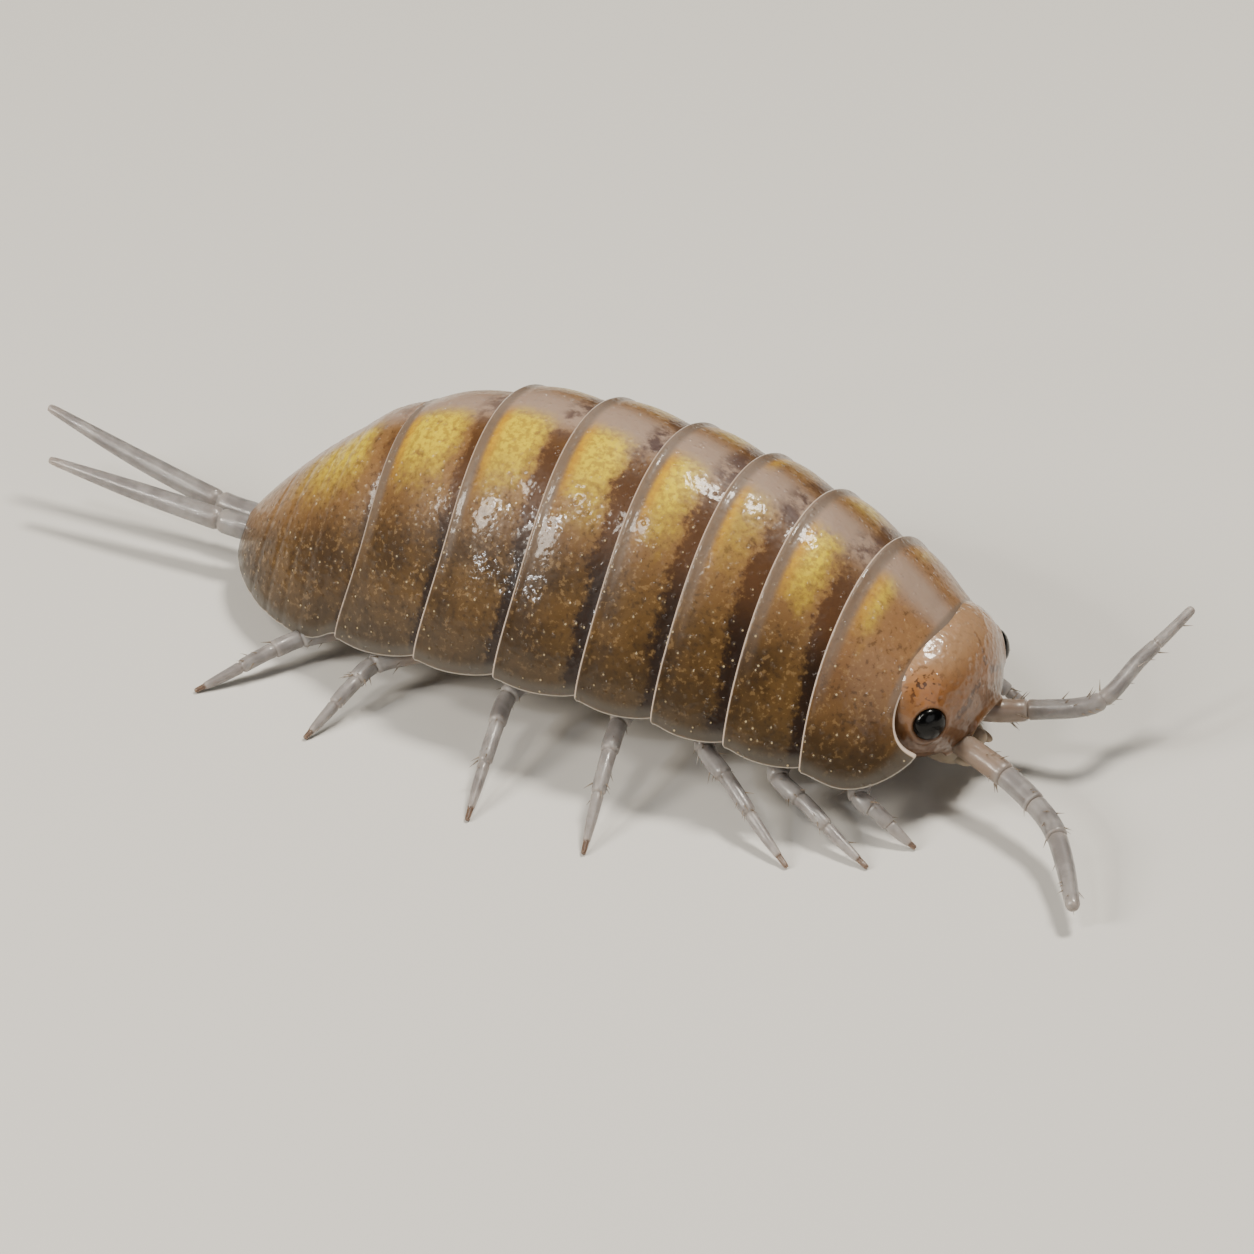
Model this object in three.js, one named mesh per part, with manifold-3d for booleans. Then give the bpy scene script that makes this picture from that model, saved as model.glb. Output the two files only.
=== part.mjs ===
// A woodlouse, life size, standing as if about to walk on: a domed body of a head, seven overlapping plates and a
// tail shield, with seven pairs of legs, two long feelers and two long tail rods.
// Millimetres, +Z up. The head points to +X and the animal's right side to -Y. The feet stand on z = 0.
import * as THREE from "three";
import { mergeVertices } from "three/addons/utils/BufferGeometryUtils.js";
import Module from "manifold-3d";

const wasm = await Module();
wasm.setup();

// Driving dimensions of the body
const BODY_HALF_WIDTH = 3.83;
const BODY_DOME_HEIGHT = 4.2;
const EDGE_HEIGHT = 2.08; // lower edge of the plates above the ground, at mid body
const BODY_REACH = 7.785; // the length over which the width, height and droop fall away
const DOME_POWER = 1.355; // over 1 for a dome a little steeper at its shoulders than an ellipse
const SKIRT_FLARE = 0.12;
const RIM_STATIONS = [4.65, 3.06, 1.49, -0.22, -2.15, -4.15, -6.41]; // rear rims of plates 1 to 7, at the ridge
const PLATE_STEP = 0.17; // how far a plate's rear rim stands over the front of the next
const PLATE_BULGE = 0.07;
const SCALLOP = 0.2; // how far a plate's lower edge bows down between its corners
const EDGE_THICKNESS = 0.5;
const BELLY_HOLLOW = 0.8; // how far the belly lies above the lower edges
const GAP = 0.25; // between touching plates
const SMALL_GAP = 0.15; // between a limb and what it grows from
const TAIL_END = -10.7;
const TAIL_HALF_WIDTH = 2.98;
const TAIL_EDGE_HEIGHT = 0.95;
const TAIL_DOME_HEIGHT = 3.85;

// Driving dimensions of the head
const HEAD = { x: 5.95, z: 2.22, forward: 1.29, side: 2.05, up: 1.62, down: 1.3, power: 2.2 };
const EYE = { x: 6.71, y: 1.66, z: 2.4, radius: 0.36, flatness: 0.6, facing: [0.77, 0.63, 0.1] };

const EYE_SEAT = 0.08; // how much larger the hollow under an eye is

const PLATE_COUNT = RIM_STATIONS.length;
const ACROSS_STEPS = 26;
const ALONG_STEPS = 4;
const TAIL_STEPS = 9;

const clamp = (value, low, high) => Math.min(high, Math.max(low, value));
const lerp = THREE.MathUtils.lerp;

// Materials
const finish = (color, roughness) => new THREE.MeshStandardMaterial({ color, roughness, metalness: 0 });
const shell = finish(0xb89c74, 0.35);
const headShell = finish(0xb98a62, 0.35);
const softLimb = finish(0xb9ada3, 0.4);
const eyeBlack = finish(0x0b0b0d, 0.08);
const paleFlesh = finish(0xa8937c, 0.55);

// Solids in manifold-3d: a three.js geometry goes in, and the largest closed body comes back out
function solidFrom(geometry) {
  const bare = geometry.clone();
  bare.deleteAttribute("normal");
  bare.deleteAttribute("uv");
  const merged = mergeVertices(bare, 1e-4);
  const mesh = new wasm.Mesh({
    numProp: 3,
    vertProperties: merged.attributes.position.array,
    triVerts: new Uint32Array(merged.index.array),
  });
  return new wasm.Manifold(mesh);
}

function largestBody(solid) {
  return solid.decompose().sort((a, b) => b.volume() - a.volume())[0];
}

function geometryFrom(solid) {
  const mesh = solid.getMesh();
  const geometry = new THREE.BufferGeometry();
  geometry.setAttribute("position", new THREE.BufferAttribute(new Float32Array(mesh.vertProperties), 3));
  geometry.setIndex(new THREE.BufferAttribute(new Uint32Array(mesh.triVerts), 1));
  geometry.computeVertexNormals();
  return geometry;
}

function node(name, solid, material) {
  const made = new THREE.Mesh(geometryFrom(largestBody(solid)), material);
  made.name = name;
  return made;
}

function warped(geometry, move) {
  const position = geometry.attributes.position;
  const point = new THREE.Vector3();
  for (let i = 0; i < position.count; i++) {
    point.fromBufferAttribute(position, i);
    const moved = move(point);
    position.setXYZ(i, moved.x, moved.y, moved.z);
  }
  return solidFrom(geometry);
}

// The body's cross-section at a station x: half width, height of the dome and height of its lower edge
function bodySection(x) {
  const t = x / BODY_REACH;
  return {
    width: BODY_HALF_WIDTH * (1 - 0.038 * t - 0.21 * t ** 2 - 0.193 * t ** 4),
    dome: BODY_DOME_HEIGHT * (1 - 0.21 * t - 0.098 * t ** 2 - 0.348 * t ** 4),
    edge: EDGE_HEIGHT + 0.014 * t - 1.32 * t ** 2,
  };
}

// The first plate narrows to its front corners, which rise beside the head
function collarSection(x) {
  const section = bodySection(x);
  const forward = clamp((x - 5.2) / 1.5, 0, 1) ** 2;
  return {
    width: section.width - 0.32 * forward,
    dome: section.dome - 0.62 * forward,
    edge: section.edge + 0.8 * forward,
  };
}

// The tail shield closes in a round end, and its ridge runs down to the tail rods
function tailSection(x) {
  const start = RIM_STATIONS[PLATE_COUNT - 1];
  const t = clamp((start - x) / (start - TAIL_END), 0, 0.995);
  const round = (1 - t ** 2) ** 0.6;
  return {
    width: TAIL_HALF_WIDTH * round + 0.12,
    dome: TAIL_DOME_HEIGHT * (1 - t ** 1.25) ** 0.9 + 0.35,
    edge: lerp(bodySection(start).edge, TAIL_EDGE_HEIGHT, Math.min(1, 3 * t)),
  };
}

// The rear rim of plate i at an angle from the ridge, whose sine is across
function rearRim(i, across) {
  const t = RIM_STATIONS[i] / BODY_REACH;
  const s = Math.abs(across);
  return RIM_STATIONS[i] + (0.005 - 0.248 * t) * s ** 2 + (0.469 * t - 0.171) * s ** 8;
}

// The first plate's front rim runs round the back of the head to a corner on each side
function collarFront(across) {
  const s = Math.abs(across);
  return 6.35 - 0.5 * s ** 2 + 0.85 * s ** 10;
}

// A plate is a box bent over the back: across its width, along the body, and through from outside to belly.
// grow makes the same plate larger all round, as a cutter that leaves a gap.
function plateSolid(section, frontX, rearX, alongSteps, grow = 0) {
  const box = new THREE.BoxGeometry(2, 1, 1, ACROSS_STEPS, alongSteps, 1);
  return warped(box, (p) => {
    const angle = (-p.x * Math.PI) / 2;
    const along = p.y + 0.5;
    const outside = p.z > 0;
    const sine = Math.sin(angle);
    const s = Math.abs(sine);
    const x = lerp(rearX(sine) - grow, frontX(sine) + grow, along);
    const { width, dome, edge } = section(x);
    const rise = PLATE_BULGE * Math.sin(Math.PI * along) - PLATE_STEP * along ** 1.3 + grow;
    const low = edge - SCALLOP * Math.sin(Math.PI * along) * s ** 6;
    if (outside) {
      const y = (width - SKIRT_FLARE + rise) * sine + SKIRT_FLARE * Math.sign(sine) * s ** 9;
      return new THREE.Vector3(x, y, low - grow * s ** 6 + (dome + rise) * Math.cos(angle) ** DOME_POWER);
    }
    const thickness = Math.min(EDGE_THICKNESS, 0.45 * width);
    const hollow = Math.min(BELLY_HOLLOW, 0.4 * dome);
    return new THREE.Vector3(x, (width - thickness) * sine, low - grow + hollow * (1 - s ** 4));
  });
}

function frontOf(i, gap) {
  return i === 0 ? collarFront : (across) => rearRim(i - 1, across) - gap;
}

function plate(i, grow = 0) {
  const section = i === 0 ? collarSection : bodySection;
  return plateSolid(section, frontOf(i, GAP), (across) => rearRim(i, across), ALONG_STEPS, grow);
}

function tailShield(grow = 0) {
  const rear = () => TAIL_END + 0.02;
  return plateSolid(tailSection, frontOf(PLATE_COUNT, GAP), rear, TAIL_STEPS, grow);
}

// The head is a rounded box of a sphere, sunk into the first plate
function headBlob(grow = 0) {
  return warped(new THREE.SphereGeometry(1, 28, 18), (p) => {
    const n = HEAD.power;
    const square = (Math.abs(p.x) ** n + Math.abs(p.y) ** n + Math.abs(p.z) ** n) ** (-1 / n);
    const up = -p.y;
    const reach = up > 0 ? HEAD.down : HEAD.up;
    return new THREE.Vector3(
      HEAD.x + p.x * square * (HEAD.forward + grow),
      -p.z * square * (HEAD.side + grow),
      HEAD.z - up * square * (reach + grow),
    );
  });
}

// A limb article: a tapered tube on a curve through points given as [x, y, z, radius]
function tube(points, sides = 9, steps = 3 * (points.length - 1)) {
  const curve = new THREE.CatmullRomCurve3(
    points.map(([x, y, z]) => new THREE.Vector3(x, y, z)),
    false,
    "centripetal",
  );
  const radii = points.map((p) => p[3]);
  const up = new THREE.Vector3(0, 0, 1);
  return warped(new THREE.CylinderGeometry(1, 1, 1, sides, steps, false), (p) => {
    const t = clamp(p.y + 0.5, 0, 1);
    const centre = curve.getPoint(t);
    const along = curve.getTangent(t);
    const side = new THREE.Vector3().crossVectors(up, along).normalize();
    const top = new THREE.Vector3().crossVectors(along, side);
    const place = t * (radii.length - 1);
    const first = Math.min(Math.floor(place), radii.length - 2);
    const radius = lerp(radii[first], radii[first + 1], place - first);
    return centre.addScaledVector(side, p.z * radius).addScaledVector(top, p.x * radius);
  });
}

// Solids cut by the grown shape of what they meet
const cutPlates = RIM_STATIONS.map((_, i) => plate(i, SMALL_GAP));
const cutTail = tailShield(SMALL_GAP);
const headCollar = plate(0, GAP);
const fullHead = headBlob();
const cutHead = headBlob(SMALL_GAP);

// An eye is a low round dome that faces out and forward
function eyeDome(side, grow = 0) {
  const facing = new THREE.Vector3(EYE.facing[0], side * EYE.facing[1], EYE.facing[2]).normalize();
  const centre = new THREE.Vector3(EYE.x, side * EYE.y, EYE.z);
  return warped(new THREE.SphereGeometry(EYE.radius + grow, 16, 12), (p) =>
    p.addScaledVector(facing, (EYE.flatness - 1) * p.dot(facing)).add(centre),
  );
}

const woodlouse = new THREE.Group();

// Head, with a shallow seat for each eye
const seats = eyeDome(-1, EYE_SEAT).add(eyeDome(1, EYE_SEAT));
woodlouse.add(node("head", fullHead.subtract(headCollar).subtract(seats), headShell));
woodlouse.add(node("eye_right", eyeDome(-1), eyeBlack));
woodlouse.add(node("eye_left", eyeDome(1), eyeBlack));

// Mouthparts: a small pale bundle under the front of the head
const mouth = warped(new THREE.SphereGeometry(1, 14, 10), (p) =>
  new THREE.Vector3(6.35 + 0.75 * p.x, 0.85 * p.y, 1.12 + 0.55 * p.z),
);
woodlouse.add(node("mouthparts", mouth.subtract(cutHead).subtract(cutPlates[0]), paleFlesh));

// Plates 1 to 7, then the tail shield
for (let i = 0; i < PLATE_COUNT; i++) woodlouse.add(node(`plate_${i + 1}`, plate(i), shell));
woodlouse.add(node("tail_shield", tailShield(), shell));

// Pleopods: five pairs of small flaps under the tail, each lying over the next
const flaps = [];
for (let row = 0; row < 5; row++) {
  for (const side of [-1, 1]) {
    flaps.push(
      warped(new THREE.SphereGeometry(1, 10, 6), (p) =>
        new THREE.Vector3(
          -7.25 - 0.46 * row + 0.5 * p.x,
          side * (0.62 - 0.05 * row) + (0.8 - 0.08 * row) * p.y,
          1.18 - 0.02 * row + 0.3 * p.z + 0.25 * p.x,
        ),
      ),
    );
  }
}
const flapStack = flaps.reduce((whole, flap) => whole.add(flap));
woodlouse.add(node("pleopods", flapStack.subtract(cutTail).subtract(cutPlates[6]), paleFlesh));

// Feelers: each in four lengths, from the head out, as [x, y, z, radius]
const FEELERS = {
  right: [
    [6.4, -0.55, 1.6, 0.27],
    [8.17, -1.12, 1.3, 0.27],
    [8.95, -1.47, 1.15, 0.26],
    [9.7, -1.95, 0.98, 0.24],
    [11.1, -3.92, 0.6, 0.14],
  ],
  left: [
    [6.4, 0.5, 1.5, 0.27],
    [7.64, 1.17, 1.35, 0.27],
    [9.0, 1.62, 1.7, 0.24],
    [9.42, 2.83, 2.2, 0.19],
    [9.98, 4.3, 2.9, 0.12],
  ],
};
const FEELER_PARTS = ["base", "second", "third", "tip"];
const FEELER_GAP = 0.06; // half the gap between two lengths

function shortened(a, b, startCut, endCut) {
  const length = Math.hypot(b[0] - a[0], b[1] - a[1], b[2] - a[2]);
  const at = (t) => a.map((v, k) => lerp(v, b[k], t));
  return [at(startCut / length), at(0.5), at(1 - endCut / length)];
}

for (const [side, joints] of Object.entries(FEELERS)) {
  FEELER_PARTS.forEach((part, k) => {
    const points = shortened(joints[k], joints[k + 1], k ? FEELER_GAP : 0, FEELER_GAP);
    points[2][3] = k === 3 ? 0.14 : points[2][3] * 1.04;
    let solid = tube(points, 10);
    if (k === 0) solid = solid.subtract(cutHead).subtract(cutPlates[0]);
    woodlouse.add(node(`feeler_${side}_${part}`, solid, softLimb));
  });
}

// Tail rods: a short root and a long tapering branch on each side
const TAIL_RODS = {
  right: { root: [-9.8, -0.32, 1.05], fork: [-11.2, -0.42, 1.22], end: [-15.6, -0.62, 1.62] },
  left: { root: [-9.8, 0.34, 1.0], fork: [-11.7, 0.36, 1.12], end: [-16.2, 0.38, 2.27] },
};
const ROD = { root: 0.33, fork: 0.3, end: 0.13 };
for (const [side, rod] of Object.entries(TAIL_RODS)) {
  const root = [
    [...rod.root, ROD.root],
    [...rod.fork, ROD.fork],
  ];
  const branch = [
    [...rod.fork, ROD.fork],
    [...rod.end, ROD.end],
  ];
  const rootTube = tube(shortened(root[0], root[1], 0, FEELER_GAP), 9);
  woodlouse.add(node(`tail_rod_${side}_root`, rootTube.subtract(cutTail), softLimb));
  woodlouse.add(node(`tail_rod_${side}_branch`, tube(shortened(branch[0], branch[1], FEELER_GAP, 0), 9), softLimb));
}

// Legs: where each foot stands, pair by pair from the head, as [x, distance from the middle]
const FEET = {
  right: [
    [6.99, 2.76],
    [6.43, 3.85],
    [4.97, 4.62],
    [1.08, 6.2],
    [-1.62, 6.3],
    [-6.12, 5.34],
    [-9.1, 4.93],
  ],
  left: [
    [7.05, 2.9],
    [5.6, 4.05],
    [3.9, 5.1],
    [0.5, 6.0],
    [-2.5, 6.05],
    [-5.6, 5.4],
    [-8.5, 4.6],
  ],
};
const LEG_ROOTS = [5.35, 3.85, 2.3, 0.65, -1.2, -3.15, -5.3];
const KNEES = {
  right: [5.58, 3.88, 2.27, 0.34, -2.29, -5.6, -7.6],
  left: [5.6, 4.3, 2.7, 0.3, -2.0, -4.6, -7.1],
};
const KNEE_HEIGHTS = [0.81, 0.94, 1.28, 1.38, 1.21, 0.85, 0.68];
const LEG_RADII = [0.3, 0.3, 0.26, 0.24, 0.22, 0.12];
const HIP_INSET = 2.3; // how far inside the plates' edge a leg grows from the belly, and how high above the edge
const HIP_RISE = 0.7;
const THIGH_INSET = 1.4;
const KNEE_INSET = 0.6;
const SHIN_BOW = 0.08; // how far the lower leg bows out and up between knee and foot
const FOOT_SINK = 0.06; // how far a foot's end is cut off flat by the ground

function leg(i, side) {
  const sign = side === "right" ? -1 : 1;
  const [footX, footY] = FEET[side][i];
  const rootX = LEG_ROOTS[i];
  const { width, edge } = bodySection(rootX);
  const kneeX = KNEES[side][i];
  const kneeY = width - KNEE_INSET;
  const kneeZ = KNEE_HEIGHTS[i];
  const points = [
    [rootX, width - HIP_INSET, edge + HIP_RISE],
    [lerp(rootX, kneeX, 0.5), width - THIGH_INSET, lerp(edge, kneeZ, 0.6)],
    [kneeX, kneeY, kneeZ],
    [lerp(kneeX, footX, 0.36), lerp(kneeY, footY, 0.36) + SHIN_BOW, 0.68 * kneeZ + SHIN_BOW],
    [lerp(kneeX, footX, 0.7), lerp(kneeY, footY, 0.7) + 0.7 * SHIN_BOW, 0.32 * kneeZ + 0.7 * SHIN_BOW],
    [footX, footY, -FOOT_SINK],
  ].map(([x, y, z], k) => [x, sign * y, z, LEG_RADII[k]]);
  let solid = tube(points, 8, 12);
  for (const near of [i - 1, i, i + 1]) if (cutPlates[near]) solid = solid.subtract(cutPlates[near]);
  if (i === 0) solid = solid.subtract(cutHead);
  if (i === PLATE_COUNT - 1) solid = solid.subtract(cutTail);
  const ground = warped(new THREE.BoxGeometry(40, 30, 2), (p) => p.add(new THREE.Vector3(0, 0, -1)));
  return solid.subtract(ground);
}

for (const side of ["right", "left"]) {
  for (let i = 0; i < PLATE_COUNT; i++) woodlouse.add(node(`leg_${side}_${i + 1}`, leg(i, side), softLimb));
}

// The part's frame has its origin under the middle of its box, on the ground
const bounds = new THREE.Box3().setFromObject(woodlouse);
const middle = bounds.getCenter(new THREE.Vector3());
woodlouse.position.set(-middle.x, -middle.y, -bounds.min.z);

export default woodlouse;
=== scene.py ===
import math

import bmesh
import bpy
import numpy as np
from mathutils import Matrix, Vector


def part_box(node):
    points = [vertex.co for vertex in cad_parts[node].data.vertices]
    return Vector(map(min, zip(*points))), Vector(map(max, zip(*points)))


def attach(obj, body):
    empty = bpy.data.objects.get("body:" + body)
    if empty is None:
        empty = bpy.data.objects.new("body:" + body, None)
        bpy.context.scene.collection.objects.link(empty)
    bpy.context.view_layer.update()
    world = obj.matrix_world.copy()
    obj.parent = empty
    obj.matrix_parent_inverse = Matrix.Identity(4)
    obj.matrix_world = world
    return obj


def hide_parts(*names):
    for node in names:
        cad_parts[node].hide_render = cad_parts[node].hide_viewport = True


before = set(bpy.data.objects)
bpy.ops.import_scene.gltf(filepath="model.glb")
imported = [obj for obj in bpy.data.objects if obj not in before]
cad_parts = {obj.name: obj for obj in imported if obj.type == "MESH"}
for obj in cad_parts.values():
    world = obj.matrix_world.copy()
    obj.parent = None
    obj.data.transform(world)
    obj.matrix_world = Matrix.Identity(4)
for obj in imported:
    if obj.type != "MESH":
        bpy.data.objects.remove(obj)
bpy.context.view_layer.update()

# Where things are. The animal is drawn in millimetres with x = 0 under its middle, the head to +X, the
# right side to -Y and the ground at z = 0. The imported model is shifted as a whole, by as much as its
# right eye shows.
MM = 0.001
EYE_CENTRE = (6.71, -1.66, 2.4)
eye_low, eye_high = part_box("eye_right")
shift = np.array([(eye_low[k] + eye_high[k]) / 2 - EYE_CENTRE[k] * MM for k in range(3)])


def placed(points_mm):
    return np.asarray(points_mm, dtype=float) * MM + shift


# Camera: a long macro lens, about 130 mm off, above and in front of the animal's right shoulder, so that
# its far side hardly shrinks.
lens = bpy.data.cameras.new("macro_lens")
lens.sensor_width = 36.0
lens.lens = 174.8
lens.clip_start = 0.005
lens.clip_end = 5.0
camera = bpy.data.objects.new("camera", lens)
bpy.context.collection.objects.link(camera)
camera.location = placed((50.54, -95.35, 73.11))
aim = Vector(placed((-0.08, -2.18, 2.94))) - camera.location
camera.rotation_euler = aim.to_track_quat("-Z", "Y").to_euler()
bpy.context.scene.camera = camera


# Shell plates: seven hard arches of chalky cuticle cover the back, each grown with its rear rim over the
# front of the next one, so that they slide as the animal bends. They are smooth and wet, finely pitted,
# and clear enough at the rims to show what is under.
BODY_HALF_WIDTH = 3.83
BODY_DOME_HEIGHT = 4.2
EDGE_HEIGHT = 2.08
BODY_REACH = 7.785
DOME_POWER = 1.355
COLLAR_START = 5.2
COLLAR_LENGTH = 1.5
COLLAR_NARROWING = 0.32
COLLAR_LOWERING = 0.62
COLLAR_EDGE_RISE = 0.8
COLLAR_FRONT = 6.35
SKIRT_FLARE = 0.12
RIM_STATIONS = [4.65, 3.06, 1.49, -0.22, -2.15, -4.15, -6.41]
RIM_LIFT = 0.07
FRONT_DROP = 0.13
TUCK = 0.5
SCALLOP = 0.2
TUCK_DROP = 0.1
SCALLOP_INSIDE = 0.03
RIM_BEAD = 0.035
RIM_THICKNESS = 0.045
PLATE_THICKNESS = 0.145
THINNING_REACH = 0.6
PLATE_ACROSS = 150
PLATE_ALONG = 36


def smooth(value, low, high):
    t = np.clip((value - low) / (high - low), 0.0, 1.0)
    return t * t * (3 - 2 * t)


def body_section(x):
    # half width, dome height and edge height of the body at a place along it, fitted to the photographed
    # rims
    t = x / BODY_REACH
    width = BODY_HALF_WIDTH * (1 - 0.038 * t - 0.21 * t**2 - 0.193 * t**4)
    dome = BODY_DOME_HEIGHT * (1 - 0.21 * t - 0.098 * t**2 - 0.348 * t**4)
    edge = EDGE_HEIGHT + 0.014 * t - 1.32 * t**2
    return width, dome, edge


def collar_section(x):
    # the first plate draws in towards the head, and its edge rises there
    width, dome, edge = body_section(x)
    forward = np.clip((x - COLLAR_START) / COLLAR_LENGTH, 0, 1) ** 2
    dome = dome - COLLAR_LOWERING * forward
    return width - COLLAR_NARROWING * forward, dome, edge + COLLAR_EDGE_RISE * forward


def rear_rim(i, s):
    # a rim bows along the body from the ridge, s = 0, to the hem, s = 1, more so towards the tail
    t = RIM_STATIONS[i] / BODY_REACH
    return RIM_STATIONS[i] + (0.005 - 0.248 * t) * s**2 + (0.469 * t - 0.171) * s**8


def collar_front(s):
    # the collar sweeps back beside the head and comes forward again at its corner
    return COLLAR_FRONT - 0.5 * s**2 + 0.85 * s**10


def dome_point(section, x, angle, out, low_drop):
    # out lifts the surface off the body's plain form, along a radius
    width, dome, edge = section(x)
    sine, cosine = np.sin(angle), np.cos(angle)
    s = np.abs(sine)
    y = (width - SKIRT_FLARE + out) * sine + SKIRT_FLARE * np.sign(sine) * s**9
    z = edge - low_drop * s**6 + (dome + out) * cosine**DOME_POWER
    return np.stack([x, y, z], axis=-1)


def mesh_piece(name, points_mm, faces, material, attributes=None):
    # makes a mesh from points in millimetres, its faces turned outwards, with a float attribute for each
    # pattern
    points = placed(points_mm)
    mesh = bpy.data.meshes.new(name)
    mesh.from_pydata(points.tolist(), [], [tuple(int(v) for v in f) for f in faces])
    for label, values in (attributes or {}).items():
        layer = mesh.attributes.new(name=label, type="FLOAT", domain="POINT")
        layer.data.foreach_set("value", np.asarray(values, dtype=np.float32).ravel())
    work = bmesh.new()
    work.from_mesh(mesh)
    bmesh.ops.remove_doubles(work, verts=work.verts, dist=1e-7)
    bmesh.ops.recalc_face_normals(work, faces=work.faces)
    if work.calc_volume(signed=True) < 0:
        bmesh.ops.reverse_faces(work, faces=work.faces)
    for face in work.faces:
        face.smooth = True
    work.to_mesh(mesh)
    work.free()
    piece = bpy.data.objects.new(name, mesh)
    bpy.context.collection.objects.link(piece)
    mesh.materials.append(material)
    return piece


def grid_faces(rows, columns, start=0, flip=False):
    r, c = np.meshgrid(np.arange(rows - 1), np.arange(columns - 1), indexing="ij")
    a = start + r * columns + c
    quads = np.stack([a, a + 1, a + columns + 1, a + columns], axis=-1).reshape(-1, 4)
    return quads[:, ::-1] if flip else quads


def sheet_faces(rows, columns):
    # two grids of points, outside then inside, joined round their four edges into one closed sheet
    size = rows * columns
    index = np.arange(size).reshape(rows, columns)
    border = np.concatenate([index[0, :-1], index[:-1, -1], index[-1, :0:-1], index[:0:-1, 0]])
    after = np.roll(border, -1)
    wall = np.stack([border, border + size, after + size, after], axis=-1)
    return np.concatenate([grid_faces(rows, columns), grid_faces(rows, columns, size, True), wall])


def hex_colour(code):
    srgb = [int(code[k:k + 2], 16) / 255 for k in (1, 3, 5)]
    return [c / 12.92 if c <= 0.04045 else ((c + 0.055) / 1.055) ** 2.4 for c in srgb] + [1.0]


def add_node(tree, kind, links=None, **settings):
    # adds one node: settings go to its properties, links to its sockets, as values or as other nodes'
    # outputs
    made = tree.nodes.new(kind)
    for key, value in settings.items():
        setattr(made, key, value)
    for socket, value in (links or {}).items():
        target = made.inputs[socket]
        if isinstance(value, bpy.types.NodeSocket):
            tree.links.new(value, target)
        elif isinstance(value, str) and value.startswith("#"):
            target.default_value = hex_colour(value)
        else:
            target.default_value = value
    return made


def new_material(name):
    material = bpy.data.materials.new(name)
    material.use_nodes = True
    material.node_tree.nodes.clear()
    return material, material.node_tree


def share_of(tree, factors):
    # the product of its factors, each a number, an output, or (output, low, high): 0 below low, 1 above
    # high and smooth between, or the other way round where low is the larger
    product = None
    for factor in factors:
        if isinstance(factor, tuple):
            value, low, high = factor
            factor = add_node(tree, "ShaderNodeMapRange", {0: value, 1: low, 2: high},
                              interpolation_type="SMOOTHSTEP").outputs[0]
        product = factor if product is None else add_node(
            tree, "ShaderNodeMath", {0: product, 1: factor}, operation="MULTIPLY").outputs[0]
    return product


def painted(tree, colour, coats):
    # lays coats over a ground colour: each is its own colour, then the factors of how much of it shows
    for coat, *factors in coats:
        colour = add_node(tree, "ShaderNodeMix", {0: share_of(tree, factors), 6: colour, 7: coat},
                          data_type="RGBA").outputs[2]
    return colour


# Living cuticle: chitin hardened with chalk, 0.15 mm thick, over pigment cells. It looks wet and
# glossy, pitted every 0.1 to 0.15 mm, and light goes a little way into it. Its rims are clear, so they
# look grey, with a bright line at the very edge, partly its own pale colour and partly a painted highlight.
cuticle, tree = new_material("wet_chitin_cuticle")
where = add_node(tree, "ShaderNodeTexCoord").outputs["Object"]
from_rim, from_front, from_hem, flank, yellow_share, dark_share = (
    add_node(tree, "ShaderNodeAttribute", attribute_name=label).outputs["Fac"]
    for label in ("from_rim_mm", "from_front_mm", "from_hem_mm", "flank", "yellow_share", "dark_share"))
# clouds about 1 mm wide, blotches of 0.5 mm and specks of 0.13 mm
cloud, blotch, speck = (
    add_node(tree, "ShaderNodeTexNoise", {"Vector": where, "Scale": scale, "Detail": detail,
                                          "Roughness": roughness}).outputs[0]
    for scale, detail, roughness in ((900.0, 5.0, 0.6), (2100.0, 5.0, 0.65), (7500.0, 3.0, 0.6)))
# tan, lighter above and on the first plate, speckled dark and pale (the pale specks partly painted glints),
# darker low down, pinkish at the ridge
ground = painted(tree, "#58401F", (
    ("#3A270F", (cloud, 0.36, 0.64)),
    ("#7E5D38", (flank, 0.62, 0.30)),
    ("#90694A", (dark_share, 0.5, 0.2), (flank, 0.85, 0.4), 0.4),
    ("#24160A", (speck, 0.54, 0.68), 0.5),
    # pale specks: partly the cuticle's own speckling, partly painted glints
    ("#A3845A", (speck, 0.44, 0.34), 0.3),
    ("#362B1C", (flank, 0.66, 0.92), 0.6),
    ("#9A8474", (flank, 0.16, 0.03)),
))
lemon = painted(tree, "#D6BC1E", (
    ("#AE9128", (speck, 0.40, 0.62)),
    ("#B57E1A", (from_rim, 0.60, 0.32), 0.7),
))
# the front band's colour, brown pigment above and near black low down, where the painted shadow under the
# rim is deepest
band_pigment_and_shade = painted(tree, "#4A2E18", (("#1C0C04", (flank, 0.36, 0.58)),))
# the yellow ends raggedly below and in front
yellow_low = add_node(tree, "ShaderNodeMath", {0: blotch, 1: 0.3, 2: flank},
                      operation="MULTIPLY_ADD").outputs[0]
yellow_front = add_node(tree, "ShaderNodeMath", {0: blotch, 1: -0.8, 2: from_front},
                        operation="MULTIPLY_ADD").outputs[0]
# the dark band along a plate's front, pigment and painted shadow under the rim in front, is narrower low
# down, ragged behind, and wider on the darker plates
band_width = add_node(tree, "ShaderNodeMapRange", {0: flank, 1: 0.42, 2: 0.66, 3: 0.01, 4: -0.12},
                      interpolation_type="SMOOTHSTEP").outputs[0]
for noise, depth in ((blotch, 0.7), (speck, 0.5)):
    band_width = add_node(tree, "ShaderNodeMath", {0: noise, 1: depth, 2: band_width},
                          operation="MULTIPLY_ADD").outputs[0]
band_width = share_of(tree, (band_width, dark_share))
into_band = add_node(tree, "ShaderNodeMath", {0: band_width, 1: from_front},
                     operation="SUBTRACT").outputs[0]
band_share = add_node(tree, "ShaderNodeMath", {0: dark_share, 1: 1.5}, operation="MULTIPLY",
                      use_clamp=True).outputs[0]
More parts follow.
